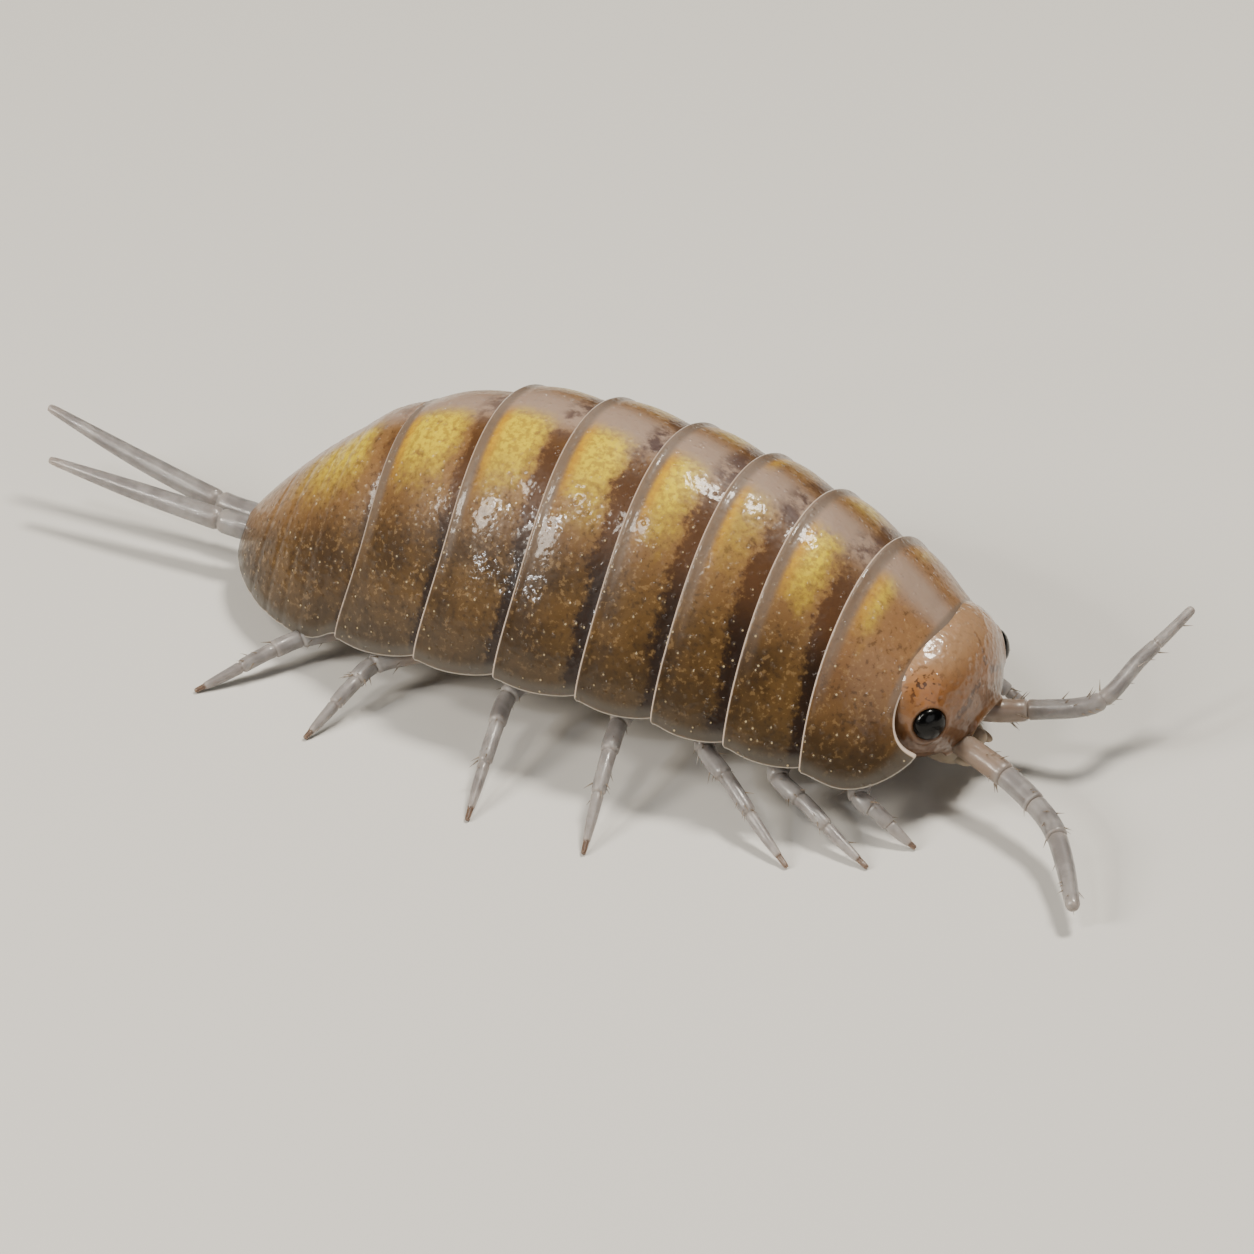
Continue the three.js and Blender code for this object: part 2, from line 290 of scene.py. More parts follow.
# granules lie about 0.2 mm apart, a little wider than the real ones, so that they show; some carry a pale
# dot, a painted glint where the granule catches the light
cells = add_node(tree, "ShaderNodeTexVoronoi", {"Vector": where, "Scale": 5400.0, "Randomness": 1.0})
from_cell = cells.outputs["Distance"]
# which granules carry a painted glint, and how bright
glint_chance = add_node(tree, "ShaderNodeSeparateColor", {0: cells.outputs["Color"]}).outputs[0]
# in order: yellow patch, dark spots by the ridge, front band with its painted rim shadow, grey hem, clear
# rim, the bright lines of rim (partly a painted highlight) and hem, painted glints on the granules
colour = painted(tree, ground, (
    (lemon, (yellow_low, 0.60, 0.34), (flank, 0.02, 0.14), (from_rim, 0.18, 0.36), (yellow_front, 0.0, 0.5),
     (blotch, 0.26, 0.46), yellow_share),
    ("#3C2A2C", (flank, 0.20, 0.08), (blotch, 0.40, 0.58), (from_front, 0.70, 0.35), dark_share, 0.85),
    # front band: pigment, with painted shadow under the rim of the plate in front
    (band_pigment_and_shade, (into_band, 0.0, 0.2), (flank, 0.05, 0.22), band_share, 0.92),
    ("#524D45", (from_hem, 0.38, 0.12), 0.75),
    ("#6A5E54", (from_rim, 0.34, 0.18), (flank, 0.75, 0.35), 0.75),
    # painted highlight on the lit edge of the rim, over the edge's own pale colour
    ("#CDB7A6", (from_rim, 0.045, 0.015)),
    ("#BDB4A8", (from_hem, 0.035, 0.012), 0.7),
    # painted glints: a pale dot at the middle of some granules
    ("#CDB98F", (from_cell, 0.17, 0.07), (glint_chance, 0.15, 0.95), (flank, 0.12, 0.35), 0.72),
))
beads = share_of(tree, [(from_cell, 0.34, 0.02)])
pits = add_node(tree, "ShaderNodeTexVoronoi", {"Vector": where, "Scale": 8200.0, "Randomness": 1.0},
                feature="SMOOTH_F1").outputs[0]
dimples = add_node(tree, "ShaderNodeTexNoise", {"Vector": where, "Scale": 3400.0, "Detail": 2.0}).outputs[0]
bump = add_node(tree, "ShaderNodeBump", {"Strength": 0.15, "Distance": 0.0001, "Height": dimples})
bump = add_node(tree, "ShaderNodeBump", {"Strength": 0.18, "Distance": 0.00003, "Height": pits,
                                         "Normal": bump.outputs[0]})
bump = add_node(tree, "ShaderNodeBump", {"Strength": 0.3, "Distance": 0.00002, "Height": beads,
                                         "Normal": bump.outputs[0]})
# the beads stand out most in the wet film, as small glints
wet = add_node(tree, "ShaderNodeBump", {"Strength": 1.0, "Distance": 0.000035, "Height": beads,
                                        "Normal": bump.outputs[0]})
gloss = add_node(tree, "ShaderNodeMapRange", {0: speck, 1: 0.35, 2: 0.7, 3: 0.36, 4: 0.54}).outputs[0]
skin = add_node(tree, "ShaderNodeBsdfPrincipled", {
    "Base Color": colour, "Roughness": gloss, "IOR": 1.5, "Specular IOR Level": 0.22,
    "Subsurface Weight": 0.25, "Subsurface Radius": (1.0, 0.7, 0.45), "Subsurface Scale": 0.0003,
    "Coat Weight": 0.55, "Coat Roughness": 0.1, "Coat IOR": 1.38,
    "Normal": bump.outputs[0], "Coat Normal": wet.outputs[0]})
add_node(tree, "ShaderNodeOutputMaterial", {"Surface": skin.outputs[0]})

# How yellow and how dark each plate is, from the head back.
YELLOW_SHARES = [0.7, 1.0, 0.35, 1.0, 1.0, 1.0, 0.95]
DARK_SHARES = [0.15, 0.85, 0.95, 0.9, 1.0, 0.9, 0.7]


def plate_surface(front_x, rear_x, across, along):
    # across runs -1 to 1 over the back, along 0 at the front edge to 1 at the rear rim
    angle = across * math.radians(89.9)
    s = np.abs(np.sin(angle))
    front, rear = front_x(s), rear_x(s)
    x = front + (rear - front) * along
    return x, angle, s, front, rear


def build_plate(i):
    across, along = np.meshgrid(np.linspace(-1, 1, PLATE_ACROSS), np.linspace(0, 1, PLATE_ALONG),
                                indexing="ij")
    if i == 0:
        section, front_x = collar_section, collar_front
    else:
        section, front_x = body_section, (lambda s: rear_rim(i - 1, s) + TUCK)
    x, angle, _, front, rear = plate_surface(front_x, lambda s: rear_rim(i, s), across, along)
    tuck = 0.0 if i == 0 else TUCK
    from_front = front - tuck - x
    from_rim = x - rear
    length = front - tuck - rear
    part = np.clip(from_front / length, 0, 1)
    lift = -FRONT_DROP + (FRONT_DROP + RIM_LIFT) * smooth(part, -0.1, 0.75)
    lift = lift - TUCK_DROP * smooth(-from_front, 0.0, 0.4)
    bead = RIM_BEAD * (smooth(from_rim, 0.16, 0.05) - smooth(from_rim, 0.04, 0.0))
    scallop = SCALLOP * np.sin(np.pi * np.clip(part, 0, 1) ** 0.8) ** 0.7
    outer = dome_point(section, x, angle, lift + bead, scallop)
    from_edge = np.minimum(from_rim, from_front) if i == 0 else from_rim
    thickness = RIM_THICKNESS + (PLATE_THICKNESS - RIM_THICKNESS) * smooth(from_edge, 0.0, THINNING_REACH)
    inner = dome_point(section, x, angle, lift - thickness, scallop - SCALLOP_INSIDE)
    points = np.concatenate([outer.reshape(-1, 3), inner.reshape(-1, 3)])
    hem = outer[..., 2] - outer[0, :, 2]
    flank = np.abs(angle) / (math.pi / 2)
    # on the left, angle > 0, the yellow keeps further from the ridge
    yellow_share = YELLOW_SHARES[i] * np.where(angle > 0, smooth(flank, 0.12, 0.34), 1.0)
    if i == 0:
        yellow_share = yellow_share * smooth(-from_rim, -0.8, -0.45)
        from_rim = np.minimum(from_rim, 1.6 * from_front)
    if i == 2:
        yellow_share = yellow_share + 0.5 * smooth(-from_rim, -0.55, -0.35)
    values = {
        "from_rim_mm": from_rim, "from_front_mm": from_front, "flank": flank,
        "from_hem_mm": hem, "yellow_share": yellow_share,
        "dark_share": np.full(x.shape, DARK_SHARES[i]),
    }
    values = {k: np.concatenate([v.ravel(), v.ravel()]) for k, v in values.items()}
    faces = sheet_faces(PLATE_ACROSS, PLATE_ALONG)
    piece = mesh_piece(f"plate_{i + 1}_shell", points, faces, cuticle, values)
    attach(piece, "root")
    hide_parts(f"plate_{i + 1}")


for i in range(len(RIM_STATIONS)):
    build_plate(i)


# Tail shield: the last rings of the body behind the seventh plate, grown together into one smooth cover
# of the same cuticle, round behind, that shows them only as faint rings.
TAIL_END = -10.7
TAIL_HALF_WIDTH = 2.98
TAIL_EDGE_HEIGHT = 0.95
TAIL_DOME_HEIGHT = 3.85
TAIL_RINGS = [-6.95, -7.45, -7.95, -8.5, -9.1]
RING_DEPTH = 0.025
TAIL_THICKNESS = 0.15
TAIL_ALONG = 90


def tail_section(x):
    start = RIM_STATIONS[-1]
    t = np.clip((start - x) / (start - TAIL_END), 0, 0.995)
    width = TAIL_HALF_WIDTH * (1 - t**2) ** 0.6 + 0.12
    dome = TAIL_DOME_HEIGHT * (1 - t**1.25) ** 0.9 + 0.35
    back = np.minimum(1, 3 * t)
    edge = body_section(np.array(start))[2] * (1 - back) + TAIL_EDGE_HEIGHT * back
    return width, dome, edge


across, along = np.meshgrid(np.linspace(-1, 1, PLATE_ACROSS), np.linspace(0, 1, TAIL_ALONG), indexing="ij")
x, angle, s, front, _ = plate_surface(
    lambda s: rear_rim(6, s) + TUCK, lambda s: np.full(s.shape, TAIL_END + 0.02), across,
    1 - (1 - along) ** 1.5)
from_front = front - TUCK - x
lift = -FRONT_DROP + FRONT_DROP * smooth(from_front, -0.1, 0.9) - TUCK_DROP * smooth(-from_front, 0.0, 0.4)
for ring in TAIL_RINGS:
    behind = (ring - 0.25 * s**2) - x
    lift = lift - RING_DEPTH * np.exp(-((behind - 0.04) / 0.05) ** 2)
scallop = SCALLOP * smooth(from_front, 0.0, 0.6) * smooth(from_front, 4.0, 2.0)
outer = dome_point(tail_section, x, angle, lift, scallop)
inner = dome_point(tail_section, x, angle, lift - TAIL_THICKNESS, scallop - SCALLOP_INSIDE)
points = np.concatenate([outer.reshape(-1, 3), inner.reshape(-1, 3)])
from_ridge = np.where(angle > 0, smooth(np.abs(angle), 0.2, 0.55), 1.0)
values = {
    "from_rim_mm": np.full(x.shape, 2.0), "from_front_mm": from_front,
    "from_hem_mm": outer[..., 2] - outer[:1, :, 2], "flank": np.abs(angle) / (math.pi / 2),
    "yellow_share": 0.8 * smooth(x, -9.3, -7.6) * from_ridge, "dark_share": np.full(x.shape, 0.45),
}
values = {k: np.concatenate([v.ravel(), v.ravel()]) for k, v in values.items()}
tail = mesh_piece("tail_shield_shell", points, sheet_faces(PLATE_ACROSS, TAIL_ALONG), cuticle, values)
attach(tail, "root")
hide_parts("tail_shield")


# Head: one hard capsule of the same cuticle, sunk in the collar of the first plate, with more orange
# pigment under it, dark freckles and streaks, a low brow across the face, and a swelling over each
# feeler's socket. It looks as wet as the plates, with dimples of 0.25 mm and pits of 0.14 mm.
HEAD = {"x": 5.95, "z": 2.22, "forward": 1.29, "side": 2.05, "up": 1.62, "down": 1.3, "power": 2.2}
SOCKET = (6.98, 0.78, 1.75)
SOCKET_SWELLING = 0.07
SOCKET_REACH = 0.38
EYE_RIM_HEIGHT = 0.05
EYE_RIM_RADIUS = 0.4
EYE_RIM_WIDTH = 0.09
EYE_HOLLOW = 0.1
BROW_HEIGHT = 0.11
BROW_WIDTH = 0.1
HEAD_RINGS = 120
HEAD_SPOKES = 200


def head_surface(turn, round_angle):
    # turn runs from the front pole to the back one, round_angle goes round the long axis
    sine = np.sin(turn)
    direction = np.stack([np.cos(turn), sine * np.cos(round_angle), sine * np.sin(round_angle)], -1)
    n = HEAD["power"]
    reach = (np.abs(direction) ** n).sum(-1, keepdims=True) ** (-1 / n)
    p = direction * reach
    height = np.where(p[..., 2] > 0, HEAD["up"], HEAD["down"])
    spot = np.stack([HEAD["x"] + HEAD["forward"] * p[..., 0], HEAD["side"] * p[..., 1],
                     HEAD["z"] + height * p[..., 2]], -1)
    away = spot - np.array([HEAD["x"], 0, HEAD["z"]])
    away /= np.linalg.norm(away, axis=-1, keepdims=True)
    for side in (-1, 1):
        mirror = np.array([1, side, 1])
        near = np.linalg.norm(spot - np.array(SOCKET) * mirror, axis=-1, keepdims=True)
        spot = spot + away * SOCKET_SWELLING * np.exp(-(near / SOCKET_REACH) ** 2)
        near_eye = np.linalg.norm(spot - np.array(EYE_CENTRE) * mirror, axis=-1, keepdims=True)
        rim = EYE_RIM_HEIGHT * np.exp(-((near_eye - EYE_RIM_RADIUS) / EYE_RIM_WIDTH) ** 2)
        spot = spot + away * (rim - EYE_HOLLOW * smooth(-near_eye, -EYE_RIM_RADIUS, 0.1 - EYE_RIM_RADIUS))
    return spot + away * BROW_HEIGHT * np.exp(-(from_brow(spot)[..., None] / BROW_WIDTH) ** 2)


def from_brow(spot):
    # how far above the brow a point is: a low ridge across the face, which turns down beside the feelers
    brow = 1.97 - 0.2 * spot[..., 1] ** 2 - 0.45 * smooth(np.abs(spot[..., 1]), 0.55, 0.8)
    return spot[..., 2] - brow + 3 * smooth(-spot[..., 0], -6.8, -6.3)


def near_streak(spot, start, end):
    # the distance from a point to a straight streak
    start, end = np.array(start), np.array(end)
    share = np.clip(((spot - start) @ (end - start)) / ((end - start) @ (end - start)), 0, 1)
    return np.linalg.norm(spot - start - share[..., None] * (end - start), axis=-1)


head_skin, tree = new_material("wet_chitin_head")
where = add_node(tree, "ShaderNodeTexCoord").outputs["Object"]
crown, cheek, shaded_jowl, stripe = (add_node(tree, "ShaderNodeAttribute", attribute_name=label).outputs["Fac"]
                              for label in ("crown", "cheek", "shaded_jowl", "stripe"))
stretched = add_node(tree, "ShaderNodeMapping", {"Vector": where, "Scale": (0.35, 1.0, 0.6)}).outputs[0]
cloud, freckle, streak = (
    add_node(tree, "ShaderNodeTexNoise", {"Vector": vector, "Scale": scale, "Detail": detail,
                                          "Roughness": roughness}).outputs[0]
    for vector, scale, detail, roughness in (
        (where, 1100.0, 5.0, 0.6), (where, 8500.0, 2.0, 0.55), (stretched, 3600.0, 3.0, 0.6)))
# freckles are thick on the cheeks and thin elsewhere, and the noise breaks up the streaks
freckled = add_node(tree, "ShaderNodeMath", {0: cheek, 1: 0.75, 2: 0.15},
                    operation="MULTIPLY_ADD").outputs[0]
uneven = add_node(tree, "ShaderNodeMath", {0: streak, 1: 2.2, 2: stripe},
                  operation="MULTIPLY_ADD").outputs[0]
colour = painted(tree, "#7E522A", (
    ("#79573A", (cloud, 0.36, 0.62)),
    ("#A2805F", crown, 0.9),
    # painted shade: the lower head darkened where it is shaded
    ("#50331A", shaded_jowl, 0.7),
    ("#A06224", cheek, 0.4),
    ("#3A2214", (freckle, 0.55, 0.63), freckled),
    ("#41210F", (uneven, 1.4, 2.0), (freckle, 0.34, 0.52), 0.85),
))
pits = add_node(tree, "ShaderNodeTexVoronoi", {"Vector": where, "Scale": 7200.0},
                feature="SMOOTH_F1").outputs[0]
dimples = add_node(tree, "ShaderNodeTexNoise", {"Vector": where, "Scale": 3800.0, "Detail": 2.0}).outputs[0]
bump = add_node(tree, "ShaderNodeBump", {"Strength": 0.28, "Distance": 0.0001, "Height": dimples})
bump = add_node(tree, "ShaderNodeBump", {"Strength": 0.5, "Distance": 0.00003, "Height": pits,
                                         "Normal": bump.outputs[0]})
from_cell = add_node(tree, "ShaderNodeTexVoronoi", {"Vector": where, "Scale": 4300.0}).outputs["Distance"]
beads = share_of(tree, [(from_cell, 0.34, 0.02)])
wet = add_node(tree, "ShaderNodeBump", {"Strength": 0.9, "Distance": 0.00003, "Height": beads,
                                        "Normal": bump.outputs[0]})
skin = add_node(tree, "ShaderNodeBsdfPrincipled", {
    "Base Color": colour, "Roughness": 0.36, "IOR": 1.54, "Specular IOR Level": 0.3,
    "Subsurface Weight": 0.3, "Subsurface Radius": (1.0, 0.75, 0.55), "Subsurface Scale": 0.0003,
    "Coat Weight": 0.8, "Coat Roughness": 0.08, "Coat IOR": 1.4,
    "Normal": bump.outputs[0], "Coat Normal": wet.outputs[0]})
add_node(tree, "ShaderNodeOutputMaterial", {"Surface": skin.outputs[0]})

# Where its patterns lie: a pale crown, cheeks, dark streaks from one point of the face to another, and
# painted shade low down.
CROWN = (2.9, 3.6)
CHEEK = (6.5, 1.5, 3.15)
CHEEK_RADIUS = 0.42
BROW_STREAK = ((7.1, 1.02, 2.39), (7.2, 0.3, 2.75))
MIDDLE_STREAK = ((6.75, 0.3, 3.52), (7.12, 0.12, 3.0))
turn, round_angle = np.meshgrid(np.linspace(0.0, math.pi, HEAD_RINGS),
                                np.linspace(0, 2 * math.pi, HEAD_SPOKES), indexing="ij")
spots = head_surface(turn, round_angle).reshape(-1, 3)
lip = smooth(-from_brow(spots), -0.12, 0.05) * smooth(spots[:, 0], 6.7, 6.9)
cheek = np.zeros(len(spots))
stripe = 1.1 * np.exp(-(near_streak(spots, *MIDDLE_STREAK) / 0.075) ** 2)
for side in (-1, 1):
    mirror = np.array([1, side, 1])
    cheek += np.exp(-(np.linalg.norm(spots - np.array(CHEEK) * mirror, axis=1) / CHEEK_RADIUS) ** 4)
    start, end = (np.array(point) * mirror for point in BROW_STREAK)
    stripe += 1.1 * np.exp(-(near_streak(spots, start, end) / 0.11) ** 2)
# the lower head, below about 2.2 mm, gets painted shade
patterns = {"crown": np.maximum(smooth(spots[:, 2], *CROWN), lip), "cheek": cheek, "stripe": stripe,
            "shaded_jowl": smooth(-spots[:, 2], -2.7, -1.9)}
head = mesh_piece("head_capsule", spots, grid_faces(HEAD_RINGS, HEAD_SPOKES), head_skin, patterns)
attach(head, "root")
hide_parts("head")


# Eyes: a low dome of about twenty lenses on each side, set in a shallow socket of the head. Each lens is
# about 0.11 mm wide, over black pigment and under one clear cornea, so the eye is polished black.
EYE_RADIUS = 0.36
EYE_FACING = np.array([0.77, 0.63, 0.1])
EYE_FLATTENING = 0.42
EYE_RINGS = 33
EYE_SPOKES = 65
cornea, tree = new_material("black_eye_cornea")
where = add_node(tree, "ShaderNodeTexCoord").outputs["Object"]
facets = add_node(tree, "ShaderNodeTexVoronoi", {"Vector": where, "Scale": 9000.0,
                                                 "Randomness": 0.35}).outputs[0]
bump = add_node(tree, "ShaderNodeBump", {"Strength": 0.2, "Distance": 0.00002, "Height": facets},
                invert=True)
shine = add_node(tree, "ShaderNodeBsdfPrincipled", {
    "Base Color": "#030303", "Roughness": 0.2, "IOR": 1.45, "Specular IOR Level": 0.3,
    "Normal": bump.outputs[0]})
add_node(tree, "ShaderNodeOutputMaterial", {"Surface": shine.outputs[0]})
turn, round_angle = np.meshgrid(np.linspace(0, math.pi, EYE_RINGS), np.linspace(0, 2 * math.pi, EYE_SPOKES),
                                indexing="ij")
ball = np.stack([np.sin(turn) * np.cos(round_angle), np.sin(turn) * np.sin(round_angle), np.cos(turn)], -1)
ball = ball * (EYE_RADIUS - 0.005)
for side, name in ((-1, "right"), (1, "left")):
    facing = EYE_FACING * (1, side, 1) / np.linalg.norm(EYE_FACING)
    dome = ball - facing * (ball @ facing)[..., None] * EYE_FLATTENING
    dome = dome + np.array([EYE_CENTRE[0], side * abs(EYE_CENTRE[1]), EYE_CENTRE[2]])
    eye = mesh_piece(f"eye_{name}_dome", dome.reshape(-1, 3), grid_faces(EYE_RINGS, EYE_SPOKES), cornea)
    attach(eye, "root")
    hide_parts(f"eye_{name}")


# Soft limbs: thin chitin without pigment, moulted and regrown as one skin that is drawn in at each joint.
# It is clear enough that a limb is a greyish glassy white, warm near the body, with a soft gloss and a
# fine grain. Legs end in a brown claw of harder chitin.
limb_skin, tree = new_material("glassy_limb_chitin")
where = add_node(tree, "ShaderNodeTexCoord").outputs["Object"]
warm, joint, claw = (add_node(tree, "ShaderNodeAttribute", attribute_name=label).outputs["Fac"]
                     for label in ("warm", "joint", "claw"))
cloud = add_node(tree, "ShaderNodeTexNoise", {"Vector": where, "Scale": 2500.0, "Detail": 4.0}).outputs[0]
colour = painted(tree, "#8C8987", (
    ("#757170", (cloud, 0.35, 0.65)),
    ("#85705E", warm, 0.8),
    ("#94897F", joint, 0.25),
    ("#452C14", claw, 0.85),
))
grain = add_node(tree, "ShaderNodeTexNoise", {"Vector": where, "Scale": 9000.0, "Detail": 3.0}).outputs[0]
bump = add_node(tree, "ShaderNodeBump", {"Strength": 0.3, "Distance": 0.00002, "Height": grain})
from_cell = add_node(tree, "ShaderNodeTexVoronoi", {"Vector": where, "Scale": 6500.0}).outputs["Distance"]
beads = share_of(tree, [(from_cell, 0.34, 0.02)])
wet = add_node(tree, "ShaderNodeBump", {"Strength": 0.8, "Distance": 0.00002, "Height": beads,
                                        "Normal": bump.outputs[0]})
skin = add_node(tree, "ShaderNodeBsdfPrincipled", {
    "Base Color": colour, "Roughness": 0.4, "IOR": 1.5,
    "Subsurface Weight": 0.9, "Subsurface Radius": (1.0, 0.85, 0.75), "Subsurface Scale": 0.0005,
    "Coat Weight": 0.5, "Coat Roughness": 0.08, "Coat IOR": 1.38,
    "Normal": bump.outputs[0], "Coat Normal": wet.outputs[0]})
add_node(tree, "ShaderNodeOutputMaterial", {"Surface": skin.outputs[0]})


def spline(points, t):
    # a smooth curve through points of any width, t counting from point to point
    points = np.asarray(points, float)
    ends = np.concatenate([[2 * points[0] - points[1]], points, [2 * points[-1] - points[-2]]])
    t = np.clip(t, 0, len(points) - 1 - 1e-9)
    k = np.floor(t).astype(int)
    u = (t - k)[:, None]
    a, b, c, d = ends[k], ends[k + 1], ends[k + 2], ends[k + 3]
    bend, twist = 2 * a - 5 * b + 4 * c - d, 3 * b - a - 3 * c + d
    return 0.5 * (2 * b + (c - a) * u + bend * u**2 + twist * u**3)


def limb(points, borders, flare, sides=20, rings=20, claw_from=9.0, warm_to=0.0):
    # one skin over round articles: points are [x, y, z, radius], and borders say, in the same count as the
    # points, where one article ends and the next starts; each is narrow at its root and drawn in at the
    # joint
    u = 0.5 - 0.5 * np.cos(np.pi * (np.arange(rings) + 0.5) / rings)
    place = np.concatenate([first + (last - first) * u for first, last in zip(borders[:-1], borders[1:])])
    u = np.tile(u, len(borders) - 1)
    ring_at = spline(points, place)
    centre = ring_at[:, :3]
    waist = 1 - 0.22 * np.exp(-(u / 0.02) ** 2) - 0.16 * np.exp(-((1 - u) / 0.015) ** 2)
    radius = ring_at[:, 3] * (1 - flare + 1.3 * flare * smooth(u, 0.05, 0.9)) * waist
    along = np.gradient(centre, axis=0)
    along /= np.linalg.norm(along, axis=1, keepdims=True)
    # bristles are thickest before a joint, with none near the ground or at the very tip
    bristle = (0.2 + 1.4 * smooth(u, 0.55, 0.9)) * smooth(centre[:, 2], 0.28, 0.4)
    bristle = bristle * (place < borders[-1] - 0.15)
    values = {"claw": (place > claw_from) * 1.0, "warm": smooth(-place, -warm_to - 0.3, -warm_to + 0.3),
              "joint": np.maximum(smooth(u, 0.15, 0.0), smooth(u, 0.88, 1.0)), "bristle": bristle}
    # each end closes in a shallow dome
    cap, cap_radius = np.array([[0.46], [0.34], [0.18]]), np.array([0.0, 0.6, 0.9])
    centre = np.concatenate([centre[0] - along[0] * radius[0] * cap, centre,
                             centre[-1] + along[-1] * radius[-1] * cap[::-1]])
    radius = np.concatenate([radius[0] * cap_radius, radius, radius[-1] * cap_radius[::-1]])
    along = np.concatenate([along[:1].repeat(3, 0), along, along[-1:].repeat(3, 0)])
    values = {k: np.concatenate([v[:1].repeat(3), v, v[-1:].repeat(3)]).repeat(sides + 1)
              for k, v in values.items()}
    side = np.cross([0, 0, 1.0], along)
    side /= np.linalg.norm(side, axis=1, keepdims=True)
    top = np.cross(along, side)
    angle = np.linspace(0, 2 * math.pi, sides + 1)[None, :, None]
    outward = side[:, None] * np.cos(angle) + top[:, None] * np.sin(angle)
    skin_points = centre[:, None] + radius[:, None, None] * outward
    for k, axis in enumerate("xyz"):
        values[f"toward_{axis}"] = along[:, k].repeat(sides + 1)
    return skin_points.reshape(-1, 3), grid_faces(len(centre), sides + 1), values


def limb_piece(name, parts, replaced):
    spots, faces, values = parts
    piece = mesh_piece(name, spots, faces, limb_skin, values)
    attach(piece, "root")
    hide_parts(*replaced)
    return piece


# Feelers: the second pair of antennae, tubes of clear chitin. Each has short articles at its socket, then
# longer ones that taper to a two-part whip with a blunt tip, and bends only at the joints.
FEELERS = {
    "right": [[6.75, -0.66, 1.5, 0.27], [7.5, -0.9, 1.4, 0.27], [8.17, -1.12, 1.3, 0.265],
              [8.95, -1.47, 1.15, 0.245], [9.7, -1.95, 0.98, 0.23], [10.35, -2.75, 0.8, 0.205],
              [11.04, -3.8, 0.62, 0.15]],
    "left": [[6.7, 0.55, 1.45, 0.27], [7.15, 0.8, 1.4, 0.26], [7.64, 1.17, 1.35, 0.235],
             [9.0, 1.62, 1.7, 0.2], [9.42, 2.83, 2.2, 0.165], [9.7, 3.5, 2.52, 0.13],
             [9.96, 4.2, 2.85, 0.1]],
}
FEELER_JOINTS = {"right": [0, 2.1, 3.2, 4.3, 6], "left": [0, 2, 3.1, 4.6, 6]}
limb_pieces = []
for side, points in FEELERS.items():
    parts = limb(points, FEELER_JOINTS[side], warm_to=2.0, flare=0.05)
    limb_pieces.append(limb_piece(f"feeler_{side}_skin", parts,
                                  [f"feeler_{side}_{part}" for part in ("base", "second", "third", "tip")]))


# Tail rods: the last pair of limbs, of the same clear chitin. A short root comes out from under the tail
# shield and carries one long tapering branch that trails behind.
TAIL_RODS = {
    "right": [[-9.85, -0.28, 1.06, 0.29], [-10.5, -0.33, 1.16, 0.29], [-11.2, -0.4, 1.22, 0.27],
              [-13.3, -0.52, 1.4, 0.215], [-15.5, -0.61, 1.6, 0.09]],
    "left": [[-9.85, 0.3, 1.02, 0.29], [-10.7, 0.33, 1.06, 0.28], [-11.7, 0.36, 1.12, 0.26],
             [-13.9, 0.37, 1.62, 0.21], [-16.12, 0.38, 2.25, 0.1]],
}
for side, points in TAIL_RODS.items():
    parts = limb(points, [0, 2, 4], rings=30, flare=0.04)
    limb_pieces.append(limb_piece(f"tail_rod_{side}_skin", parts,
                                  [f"tail_rod_{side}_root", f"tail_rod_{side}_branch"]))


# Legs: seven walking pairs, each a row of short hard articles that bend at membranes, thick at the body
# and fine at the foot. The knee lies just inside the shell's edge, and each foot is one claw.
FEET = {
    "right": [(6.99, 2.76), (6.43, 3.85), (4.97, 4.62), (1.08, 6.2), (-1.62, 6.3), (-6.12, 5.34),
              (-9.1, 4.93)],
    "left": [(7.05, 2.9), (5.6, 4.05), (3.9, 5.1), (0.5, 6.0), (-2.5, 6.05), (-5.6, 5.4), (-8.5, 4.6)],
}
LEG_ROOTS = [5.35, 3.85, 2.3, 0.65, -1.2, -3.15, -5.3]
KNEES = {
    "right": [5.58, 3.88, 2.27, 0.34, -2.29, -5.6, -7.6],
    "left": [5.6, 4.3, 2.7, 0.3, -2.0, -4.6, -7.1],
}
KNEE_HEIGHTS = [0.81, 0.94, 1.28, 1.38, 1.21, 0.85, 0.68]
LEG_RADII = [0.27, 0.25, 0.225, 0.175, 0.13, 0.05]
LEG_JOINTS = [0.2, 1.2, 2.1, 2.75, 3.6, 4.72, 5.0]
HIP_INSET = 2.3
HIP_RISE = 0.7
THIGH_INSET = 1.4
KNEE_INSET = 0.6
FOOT_HEIGHT = 0.05
for side, sign in (("right", -1), ("left", 1)):
    for i, (foot_x, foot_y) in enumerate(FEET[side]):
        root_x, knee_z = LEG_ROOTS[i], KNEE_HEIGHTS[i]
        width, _, edge = body_section(root_x)
        knee_x, knee_y = KNEES[side][i], width - KNEE_INSET
        path = [
            [root_x, width - HIP_INSET, edge + HIP_RISE],
            [(root_x + knee_x) / 2, width - THIGH_INSET, edge + (knee_z - edge) * 0.6],
            [knee_x, knee_y, knee_z],
        ]
        # the shin bows a little out and up between knee and foot
        for share, bow, height, rise in ((0.36, 0.08, 0.68, 0.08), (0.7, 0.06, 0.32, 0.05)):
            path.append([knee_x + (foot_x - knee_x) * share, knee_y + (foot_y - knee_y) * share + bow,
                         height * knee_z + rise])
        path.append([foot_x, foot_y, FOOT_HEIGHT])
        points = [[x, sign * y, z, LEG_RADII[k]] for k, (x, y, z) in enumerate(path)]
        parts = limb(points, LEG_JOINTS, sides=16, rings=10, claw_from=4.7, warm_to=1.6, flare=0.1)
        limb_pieces.append(limb_piece(f"leg_{side}_{i + 1}_skin", parts, [f"leg_{side}_{i + 1}"]))


